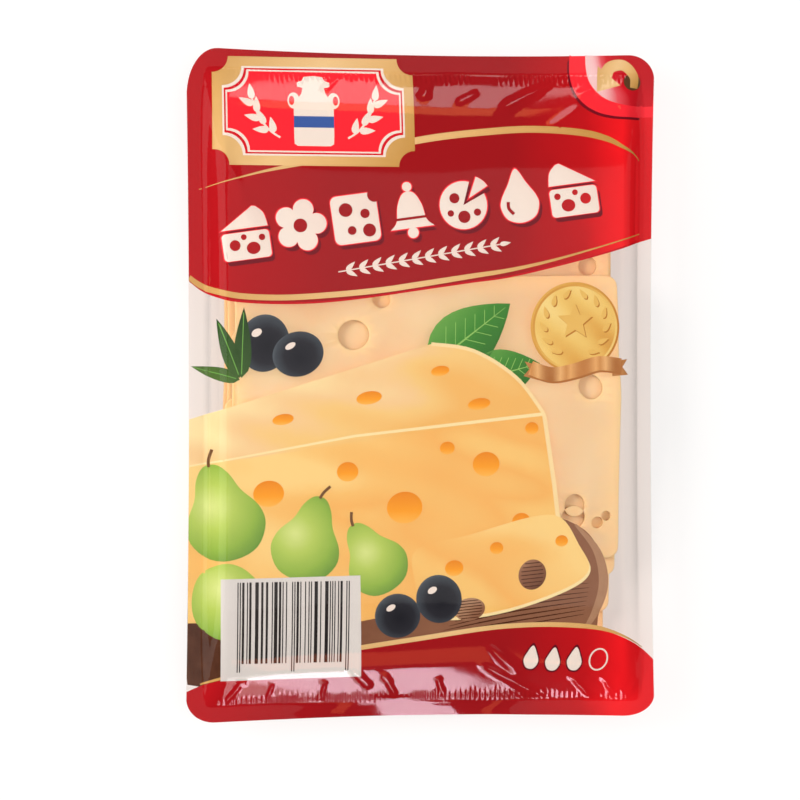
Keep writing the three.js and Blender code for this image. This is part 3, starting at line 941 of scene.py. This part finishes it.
def make_sprig():
    """The slim sprig under the row, of paired leaves on a stem."""
    start, end = Vector((-24.6, 31.4)), Vector((20.9, 39.4))
    along = end - start
    turn = math.degrees(math.atan2(along.y, along.x))
    pairs = 12
    shapes = [band([tuple(start.lerp(end, i / 20)) for i in range(21)], 0.34)]
    for i in range(pairs):
        at = start.lerp(end, (i + 0.6) / (pairs + 0.3))
        for side in (-1, 1):
            shapes.append(leaf(at.x, at.y, 3.5, 1.35, turn + side * 36))
    shapes.append(leaf(end.x, end.y, 3.2, 1.3, turn))
    make_print("sprig", CREAM, 11, [(points, flat_tone(0.6)) for points in shapes])


def make_marks():
    """Three drops and a ring at the lower right."""
    drop = curve([(0, 3.6), (-1.5, 1.2), (-2.1, -0.8), (-1.3, -2.6), (0, -3.1), (1.3, -2.6),
                  (2.1, -0.8), (1.5, 1.2)], 5, closed=True)
    places = [(30.4, -76.6), (36.6, -77.2), (42.8, -77.2)]
    make_print("mark_rims", SHADOW, 11, [(grown(moved(drop, x, y, -8), 0.5), flat_tone(0.9))
                                         for x, y in places])
    make_print("marks", CREAM, 12, [(moved(drop, x, y, -8), flat_tone(0.3)) for x, y in places])
    ring = ellipse(49.6, -77.2, 2.7, 3.3, -20)
    make_print("mark_ring", CREAM, 12, [(ring, flat_tone(0.3))])
    make_print("mark_ring_inside", RED, 13, [(ellipse(49.6, -77.2, 2.25, 2.85, -20), flat_tone(0))])


# The white label at the lower left, with plain bars of drawn widths.
LABEL = [(-57.2, -53.6), (-57.0, -82.0), (-17.7, -81.2), (-18.4, -52.8)]
BARS = dict(left=-52.6, right=-21.3, top=-54.5, bottom=-77.2, guard_bottom=-79.6)
BAR_MODULES = 95


def make_label():
    make_print("label", LABEL_WHITE, 14, [(LABEL, slope_tone((-57, -53), (-18, -82)))])
    draw = random.Random(41)
    module = (BARS["right"] - BARS["left"]) / BAR_MODULES
    guards = (0, 2, 46, 48, 92, 94)
    bars = [(guard, 1, True) for guard in guards]
    for first, last in ((4, 45), (50, 91)):
        at = first
        while at < last:
            width = draw.choice((1, 1, 1, 2, 2, 3))
            if at + width <= last:
                bars.append((at, width, False))
            at += width + draw.choice((1, 1, 2, 2, 3))
    shapes = []
    for at, width, guard in bars:
        left = BARS["left"] + at * module
        right = left + width * module - 0.03
        low = BARS["guard_bottom"] if guard else BARS["bottom"]
        lean = 0.008
        shapes.append([(left, BARS["top"] + lean * (left + 52)), (left, low + lean * (left + 52)),
                       (right, low + lean * (right + 52)), (right, BARS["top"] + lean * (right + 52))])
    make_print("label_bars", BAR_BLACK, 16, [(points, slope_tone((-52, 0), (-20, 0)))
                                             for points in shapes])


# The corner at the upper right where the pack is peeled open, with a gold arrow on it.
PEEL_OUTER = [(42.0, 93.4), (41.9, 88.6), (42.7, 83.9), (45.1, 79.9), (49.2, 77.2), (54.3, 76.0),
              (60.4, 75.8), (65.9, 76.1)]
PEEL_INNER = [(46.5, 93.4), (46.7, 89.6), (47.8, 85.2), (50.9, 81.6), (55.6, 79.6), (61.0, 79.0),
              (65.9, 79.2)]


def corner_shape(line):
    """The pack's upper right corner beyond a line, and the line itself."""
    inner = curve(line, 6)
    return inner + edge_part(lambda p: p[0] > line[0][0] and p[1] > line[-1][1])


def make_peel_corner():
    def inside_tone(x, y):
        out = math.hypot((x - 66.4) / 20.0, (y - 94.2) / 15.2)
        left = smooth(63, 48, x)
        return 0.95 * smooth(0.45, 0.98, out) * (0.25 + 0.75 * left)

    line = curve(PEEL_OUTER, 6)
    shadow = [(x - 0.55, y - 0.7) for x, y in line]
    make_print("peel_shadow", SHADOW, 10, [(shadow[2:-4] + line[2:-4][::-1], flat_tone(0.4))])
    make_print("peel_band", BRIGHT_RED, 11, [(corner_shape(PEEL_OUTER), flat_tone(0.15))])
    make_print("peel_inside", PEEL, 12, [(corner_shape(PEEL_INNER), inside_tone)])
    tail = [(60.3, 84.2), (60.4, 87.6), (57.6, 90.6), (53.9, 90.2), (52.4, 88.0)]
    arrow = [band(curve(tail, 5), lambda share: 2.2 + 1.5 * share),
             [(49.5, 82.9), (56.4, 84.9), (50.1, 90.4)]]
    make_print("peel_arrow_back", BROWN, 13,
               [(ellipse(59.9, 85.9, 2.5, 2.4, -12), flat_tone(0.85))], step=0.5)
    make_print("peel_arrow", GOLD, 14, [(points, slope_tone((49, 90), (61, 84)))
                                        for points in arrow], step=0.5)


# The medal on the clear part of the film: a rosette with a star between leaves, and a ribbon.
MEDAL = (42.3, 16.3)
MEDAL_RADIUS = 12.7


def star(x, y, radius, points=5, inner=0.45):
    return [(x + r * math.sin(a), y + r * math.cos(a)) for r, a in
            ((radius * (1 if i % 2 == 0 else inner), math.pi * i / points)
             for i in range(2 * points))]


def make_medal():
    x, y = MEDAL
    light = slope_tone((x - 11, y + 9), (x + 11, y - 9))
    make_print("medal_rim", MEDAL_GOLD, 10,
               [(ellipse(x, y, MEDAL_RADIUS, steps=72), lambda px, py: 0.5 + 0.4 * light(px, py))])
    make_print("medal_ring", MEDAL_GOLD, 11,
               [(ellipse(x, y, 12.1, steps=72), lambda px, py: 0.75 - 0.6 * light(px, py))])
    make_print("medal_face", MEDAL_GOLD, 12,
               [(ellipse(x, y, 11.5, steps=72), lambda px, py: 0.12 + 0.45 * light(px, py)
                 + 0.12 * math.sin((px + py) / 2.4))])
    relief = [star(x, y + 1.6, 5.2)]
    for side in (-1, 1):
        for i in range(6):
            angle = math.radians(-64 + 26 * i)
            relief.append(leaf(x + side * 8.2 * math.cos(angle), y + 0.6 + 8.2 * math.sin(angle),
                               3.4, 1.4, math.degrees(angle) + 62 if side > 0
                               else 118 - math.degrees(angle)))
    dark = [[(px + 0.3, py - 0.32) for px, py in points] for points in relief]
    make_print("medal_relief_shade", MEDAL_GOLD, 13, [(p, flat_tone(0.9)) for p in dark], step=0.5)
    make_print("medal_relief", MEDAL_GOLD, 14, [(p, flat_tone(0.42)) for p in relief], step=0.5)
    ribbon = curve([(29.6, 4.9), (35.6, 3.1), (42.2, 4.2), (49.0, 6.2), (55.4, 5.6)], 6)
    shadow = [(px + 0.3, py - 0.6) for px, py in ribbon]
    tails = [[(27.6, 2.6), (32.0, 1.4), (32.4, 5.4), (27.9, 6.7), (29.3, 4.6)],
             [(57.6, 3.0), (53.0, 2.6), (52.6, 6.8), (57.3, 7.4), (55.9, 5.2)]]
    make_print("ribbon_tails", RIBBON, 15, [(p, flat_tone(0.95)) for p in tails], step=0.5)
    make_print("ribbon_shade", RIBBON, 16, [(band(shadow, 3.9), flat_tone(1.0))])
    make_print("ribbon", RIBBON, 17,
               [(band(ribbon, 4.0), lambda px, py: 0.5 + 0.5 * math.sin((px - 30) / 3.1))])


# The picture: a wedge of cheese and a cut slice on a board, with pears, plums and leaves.

def make_picture():
    board = curve([(-66.0, -83), (-66.6, -66), (-66.6, -50), (-40, -42), (0, -38), (30, -36),
                   (43.6, -39.6), (49.6, -47), (51.4, -56), (49.4, -64), (45.6, -70.5), (20, -75),
                   (-30, -80)], 6, closed=True)
    make_print("board", BOARD, 0, [(board, lambda x, y: 0.95 - 0.6 * smooth(-58, 10, x))])
    lip = curve([(42.4, -39.0), (48.6, -46.4), (50.6, -55.4), (48.4, -63.6), (44.4, -70.0)], 6)
    make_print("board_lip", BOARD, 1, [(band(lip, lambda s: 0.5 + 2.2 * math.sin(math.pi * s)),
                                        flat_tone(0.05))])
    grain = []
    for i in range(12):
        low = -69.5 + 1.25 * i
        grain.append(band(curve([(2 + 1.6 * i, low - 1.5), (20 + i, low + 1.2 + 0.3 * i),
                                 (46.5 - 0.25 * abs(i - 6), low + 5.2)], 6),
                          lambda share: 0.12 + 0.3 * math.sin(math.pi * share)))
    make_print("board_grain", BOARD, 1, [(p, flat_tone(0.97)) for p in grain])

    bay = [leaf(-51.5, 2, 19.5, 5.0, 88), leaf(-52, 2, 17.5, 4.8, 111), leaf(-52, 1.5, 13.5, 3.8, 164)]
    make_print("bay_leaves", DARK_LEAF, 4, [(p, slope_tone((-66, 2), (-50, 20))) for p in bay])
    ribs = [band([(-51.5, 3.0), (-50.9, 20.0)], 0.25), band([(-52.3, 2.9), (-57.7, 17.0)], 0.25),
            band([(-53.0, 1.8), (-64.3, 5.0)], 0.22)]
    make_print("bay_ribs", FRESH_LEAF, 5, [(p, flat_tone(0.15)) for p in ribs])
    plums = [(-45.2, 11.6, 7.0, 8.0, -12), (-35.8, 8.6, 7.2, 6.2, 18)]
    for number, (x, y, wide, high, turn) in enumerate(plums):
        make_plum(f"plum_{number + 1}", 2 + number, x, y, wide, high, turn)
    # Each broad leaf: its base, length, width and turn, and where its tone starts and ends.
    broad = [(1, 5, 29, 17, 38, (2, 26), (24, 6)), (13, 1, 20, 14, 15, (16, 16), (26, -4))]
    make_print("broad_leaves", FRESH_LEAF, 1,
               [(leaf(x, y, length, wide, turn, 0.75), slope_tone(start, end))
                for x, y, length, wide, turn, start, end in broad])
    veins = []
    for x, y, length, wide, turn, _, _ in broad:
        lines = [band([(0.1 * length, 0), (0.94 * length, 0)], lambda s: 0.55 * (1 - s) + 0.1)]
        for i in range(6):
            at, reach = length * (0.2 + 0.12 * i), wide * (0.36 - 0.045 * i)
            lines += [band([(at, 0), (at + 0.8 * reach, side * reach)], 0.18) for side in (-1, 1)]
        veins += [moved(line, x, y, turn) for line in lines]
    make_print("broad_veins", FRESH_LEAF, 2, [(p, flat_tone(0.06)) for p in veins])

    tip, back, front = (-66.0, -9.5), (1.5, 11.5), (33.5, -8.0)
    left_low, right_low = (-65.9, -66.0), (39.0, -50.5)
    rind_arc = curve([back, (13.5, 9.6), (25.5, 2.2), front], 6)
    face = [(-65.9, -22.5)] + [front] + [right_low, (20, -58.5), (-20, -66), left_low]
    make_print("wedge_side", CHEESE_SIDE, 4, [(face, cloudy(slope_tone((-40, -6), (20, -60))))])
    top_face = [tip, (-65.9, -22.5)] + rind_arc[::-1]
    make_print("wedge_top", CHEESE_TOP, 5, [(top_face, cloudy(slope_tone((-20, 16), (0, -16))))])
    lines = [band([(-65.8, -22.5), (-20, -14.1), front], lambda s: 0.5 + 0.5 * s)]
    make_print("wedge_corner", CHEESE_TOP, 6, [(p, flat_tone(0.0)) for p in lines])
    rind = [band(rind_arc, 1.0), band([front, (36.4, -28), right_low], 1.2)]
    make_print("wedge_rind", CHEESE_TOP, 6, [(p, flat_tone(0.1)) for p in rind])
    bubbles = [(-44, -30, 4.3, 3.6), (-22, -24, 3.0, 2.7), (-6, -34, 5.0, 4.4), (17, -22, 3.8, 3.4),
               (27, -38, 2.6, 2.3), (6, -17.5, 2.1, 1.8), (-31, -41, 3.2, 2.8), (30, -12, 1.9, 1.7)]
    holes = [(ellipse(x, y, w, h, 8), slope_tone((x, y + h), (x, y - h))) for x, y, w, h in bubbles]
    top_holes = [(-40, -9.5, 3.0, 1.5), (-16, -3.5, 3.6, 1.8), (4, 4, 2.6, 1.4), (15, -5.2, 3.2, 1.6)]
    holes += [(ellipse(x, y, w, h, 10), slope_tone((x, y + h), (x, y - h)))
              for x, y, w, h in top_holes]
    make_print("wedge_holes", CHEESE_HOLE, 7, holes)

    slice_edge = curve([(-2.5, -45.5), (12, -41.8), (30, -36.8), (38.4, -37.2), (43.4, -44.6),
                        (46.4, -51.4), (40.4, -56.6), (24, -62.4), (8, -64.8), (0.5, -62.6),
                        (-3.2, -54)], 5, closed=True)
    make_print("cut_slice_edge", CHEESE_TOP, 8, [([(x + 0.4, y - 0.8) for x, y in slice_edge],
                                                  flat_tone(0.0))])
    make_print("cut_slice", CHEESE_SIDE, 9, [(slice_edge, cloudy(slope_tone((30, -38), (10, -64))))])
    gaps = [ellipse(30.2, -53.0, 3.9, 4.3, -20), ellipse(12.5, -62.6, 4.4, 3.2, 10)]
    make_print("cut_slice_gaps", BOARD, 10, [(p, slope_tone((26, -49), (34, -58))) for p in gaps])
    grain = []
    for x, y, w, h in ((30.2, -53.0, 3.9, 4.3), (12.5, -62.6, 4.4, 3.2)):
        for i in range(-3, 4):
            half = 0.82 * w * math.sqrt(1 - (i / 4) ** 2)
            line = [(x - half, y + i * h / 4 - 0.1 * half), (x + half, y + i * h / 4 + 0.1 * half)]
            grain.append((band(line, 0.26), flat_tone(0.97)))
    make_print("cut_slice_gap_grain", BOARD, 11, grain)
    pits = [(8, -51, 2.6, 2.2), (20, -45.5, 1.9, 1.7), (38.5, -43.6, 1.8, 1.6)]
    make_print("cut_slice_pits", CHEESE_HOLE, 10,
               [(ellipse(x, y, w, h, 8), slope_tone((x, y + h), (x, y - h))) for x, y, w, h in pits])

    pears = [(-14.0, -49.5, 8.6, 32), (-54.0, -60.0, 10.6, -95), (-33.5, -44.5, 9.6, -16),
             (-56.0, -37.5, 10.8, 16)]
    for number, (x, y, radius, turn) in enumerate(pears):
        make_pear(number + 1, 8 + number // 2, x, y, radius, turn)
    for number, (x, y, wide, high, turn) in enumerate(((-7.8, -64.2, 6.4, 6.2, 0),
                                                       (3.8, -59.6, 6.4, 6.8, 20))):
        make_plum(f"front_plum_{number + 1}", 10 + 2 * number, x, y, wide, high, turn)


# A pear's outline at a radius of 1, with its stem end up.
PEAR = [(0, -1.02), (0.62, -0.86), (0.98, -0.34), (0.94, 0.16), (0.6, 0.68), (0.42, 1.14),
        (0.18, 1.44), (-0.14, 1.45), (-0.4, 1.16), (-0.58, 0.68), (-0.92, 0.18), (-0.98, -0.34),
        (-0.62, -0.86)]


def make_pear(number, layer, x, y, radius, turn):
    body = moved(curve(PEAR, 4, closed=True), x, y, turn, radius)
    make_print(f"pear_{number}", PEAR_SKIN, layer,
               [(body, round_tone(x, y, radius * 1.1, (-0.3, 0.32)))])
    top = moved([(0, 1.42), (0.06, 1.62), (0.2, 1.84)], x, y, turn, radius)
    make_print(f"pear_stem_{number}", BROWN, layer + 1, [(band(curve(top, 4), 0.8), flat_tone(0.5))])


def make_plum(name, layer, x, y, wide, high, turn):
    make_print(name, PLUM_SKIN, layer,
               [(ellipse(x, y, wide, high, turn), round_tone(x, y, (wide + high) / 2, (0.1, -0.1)))])
    glint = ellipse(x - 0.3 * wide, y + 0.36 * high, 0.22 * wide, 0.13 * high, 30, 16)
    make_print(name + "_glint", CREAM, layer + 1, [(glint, flat_tone(0.5))], step=0.5)


# Stage: floor, light and camera

def make_stage():
    bm = bmesh.new()
    bmesh.ops.create_grid(bm, x_segments=8, y_segments=8, size=3.0)
    mesh = bpy.data.meshes.new("floor")
    bm.to_mesh(mesh)
    bm.free()
    mesh.materials.append(light_table())
    floor = bpy.data.objects.new("floor", mesh)
    floor.location.z = -0.0002
    floor.visible_glossy = False
    bpy.context.scene.collection.objects.link(floor)


def lamp(name, place, width, height, power, color="#ffffff", mirrored=True):
    """A soft box that faces the pack. One that isn't mirrored gives light but no reflection."""
    data = bpy.data.lights.new(name, "AREA")
    data.shape = "RECTANGLE"
    data.size = width
    data.size_y = height
    data.energy = power
    data.color = linear(color)[:3]
    made = bpy.data.objects.new(name, data)
    made.location = place
    made.rotation_euler = (-Vector(place)).to_track_quat("-Z", "Y").to_euler()
    made.visible_glossy = mirrored
    bpy.context.scene.collection.objects.link(made)
    return made


def make_light():
    """Soft light from all round, with a key at the left. Only the mirrored boxes show in the film."""
    lamp("key_box", (-1.1, 0.32, 0.74), 0.5, 0.5, 15.5, "#fffdfa", mirrored=False)
    lamp("right_fill", (0.75, -0.1, 1.1), 0.5, 0.5, 3.0, mirrored=False)
    lamp("front_fill", (0.1, 0.05, 1.5), 0.5, 0.5, 4.0, mirrored=False)
    lamp("top_end_box", (0.19, 0.83, 1.03), 0.14, 0.2, 0.14)
    lamp("top_end_strip", (0.19, 0.715, 1.1), 0.14, 0.06, 0.05, "#ff9a5c")
    lamp("bottom_end_box", (0.185, -0.872, 1.0), 0.09, 0.305, 0.5, "#fbeeff")
    lamp("bottom_end_wing", (0.095, -0.872, 1.0), 0.08, 0.305, 0.13)
    lamp("bottom_end_strip", (0.18, -0.666, 1.135), 0.14, 0.11, 0.06, "#ff8050")
    lamp("scrim", (0.17, 0.0, 1.2), 0.7, 0.95, 0.42)
    lamp("left_card", (-1.1, 0.0, 0.75), 0.7, 1.4, 1.15)
    lamp("right_card", (1.15, 0.0, 0.75), 0.7, 1.4, 0.42)
    world = bpy.data.worlds.new("studio")
    bpy.context.scene.world = world
    world.cycles_visibility.glossy = False
    world.use_nodes = True
    tree = world.node_tree
    tree.nodes.clear()
    place = add(tree, "TexCoord").outputs["Generated"]
    up = add(tree, "SeparateXYZ", {0: place}).outputs["Z"]
    stops = [(0.0, "#f4f2f0"), (0.6, "#fbfaf8"), (1.0, "#ffffff")]
    color = add(tree, "ValToRGB", {"Fac": up}, stops).outputs["Color"]
    glow = add(tree, "Background", {"Color": color, "Strength": 0.55}).outputs[0]
    out = add(tree, "OutputWorld")
    tree.links.new(glow, out.inputs["Surface"])


def make_camera():
    data = bpy.data.cameras.new("camera")
    data.sensor_width = SENSOR
    data.lens = PIXELS_PER_MM * CAMERA_DISTANCE * SENSOR / IMAGE_SIZE
    data.clip_start = 0.01
    made = bpy.data.objects.new("camera", data)
    back = Vector((-math.sin(CAMERA_TURN), 0, math.cos(CAMERA_TURN)))
    made.location = (Vector(CAMERA_TARGET) + CAMERA_DISTANCE * back) * MM
    made.rotation_euler = (0, -CAMERA_TURN, 0)
    bpy.context.scene.collection.objects.link(made)
    bpy.context.scene.camera = made


make_tray()
for number, (cut, under) in enumerate(zip(SLICES, lay_out()), 1):
    make_slice(number, cut, under)
make_film()
make_fields()
make_plaque()
make_row()
make_sprig()
make_marks()
make_label()
make_peel_corner()
make_medal()
make_picture()
make_stage()
make_light()
make_camera()
bpy.context.scene.view_settings.view_transform = "Standard"
